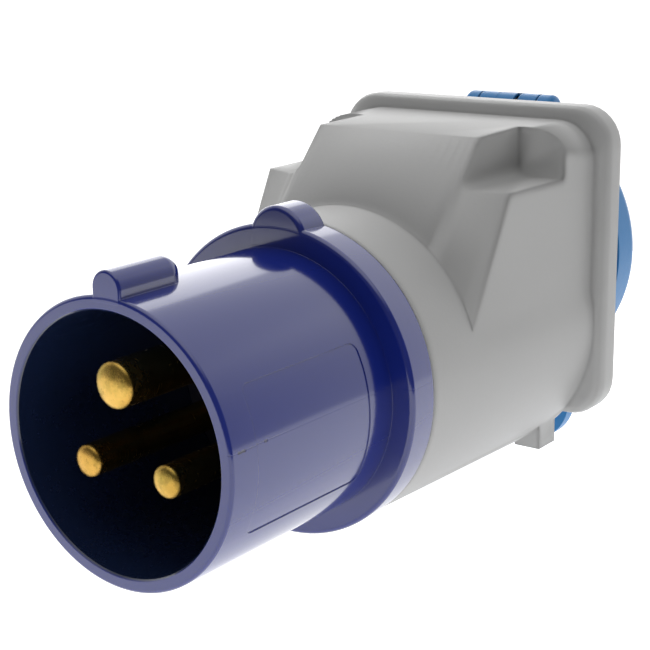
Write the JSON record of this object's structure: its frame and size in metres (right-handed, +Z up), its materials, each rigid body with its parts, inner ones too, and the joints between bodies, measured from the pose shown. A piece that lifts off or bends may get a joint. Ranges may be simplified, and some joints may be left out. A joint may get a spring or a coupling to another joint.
{
  "type": "pin and sleeve plug adapter",
  "caption": "Adapter with a keyed pin and sleeve plug on a moulded housing and an earthed socket with a sprung lid behind.",
  "frame": {"origin": "centre of the mouth of the plug's sleeve", "axes": "+Y from the mouth into the body towards the socket, +X to the right, +Z up through the key and the lid's hinge"},
  "size_m": [0.0566, 0.1144, 0.0677],
  "materials": {
    "plug_plastic": "moulded, glossy",
    "insert_plastic": "moulded, satin",
    "housing_plastic": "moulded, fine satin",
    "socket_plastic": "moulded, glossy",
    "brass": "turned",
    "steel": "zinc plated",
    "rubber": "moulded",
    "wire_brown": "insulated wire",
    "wire_blue": "insulated wire",
    "wire_green": "insulated wire"
  },
  "bodies": {
    "body": {"plug_shroud": "plug_plastic", "pin_carrier": "insert_plastic", "earth_pin": "brass", "line_pin": "brass", "neutral_pin": "brass", "carrier_screws": "steel", "pin_terminal_screws": "steel", "shroud_seal": "rubber", "shroud_screws": "steel", "housing": "housing_plastic", "panel_gasket": "rubber", "socket_front": "socket_plastic", "plate_screws": "steel", "contact_carrier": "insert_plastic", "insert_screws": "steel", "earth_bracket": "brass", "live_contact": "brass", "neutral_contact": "brass", "contact_terminal_screws": "steel", "live_wire": "wire_brown", "neutral_wire": "wire_blue", "earth_wire": "wire_green", "hinge_pin": "steel", "lid_spring": "steel"},
    "lid": {"lid": "socket_plastic", "lid_gasket": "rubber"}
  },
  "joints": [
    {"name": "lid_hinge", "type": "hinge", "parent": "body", "child": "lid", "pos_m": [0, 0.1113, 0.0362], "axis": [1, 0, 0], "range_deg": [0, 120], "stiffness_Nm_per_rad": 0.02, "springref_deg": -28.65}
  ]
}
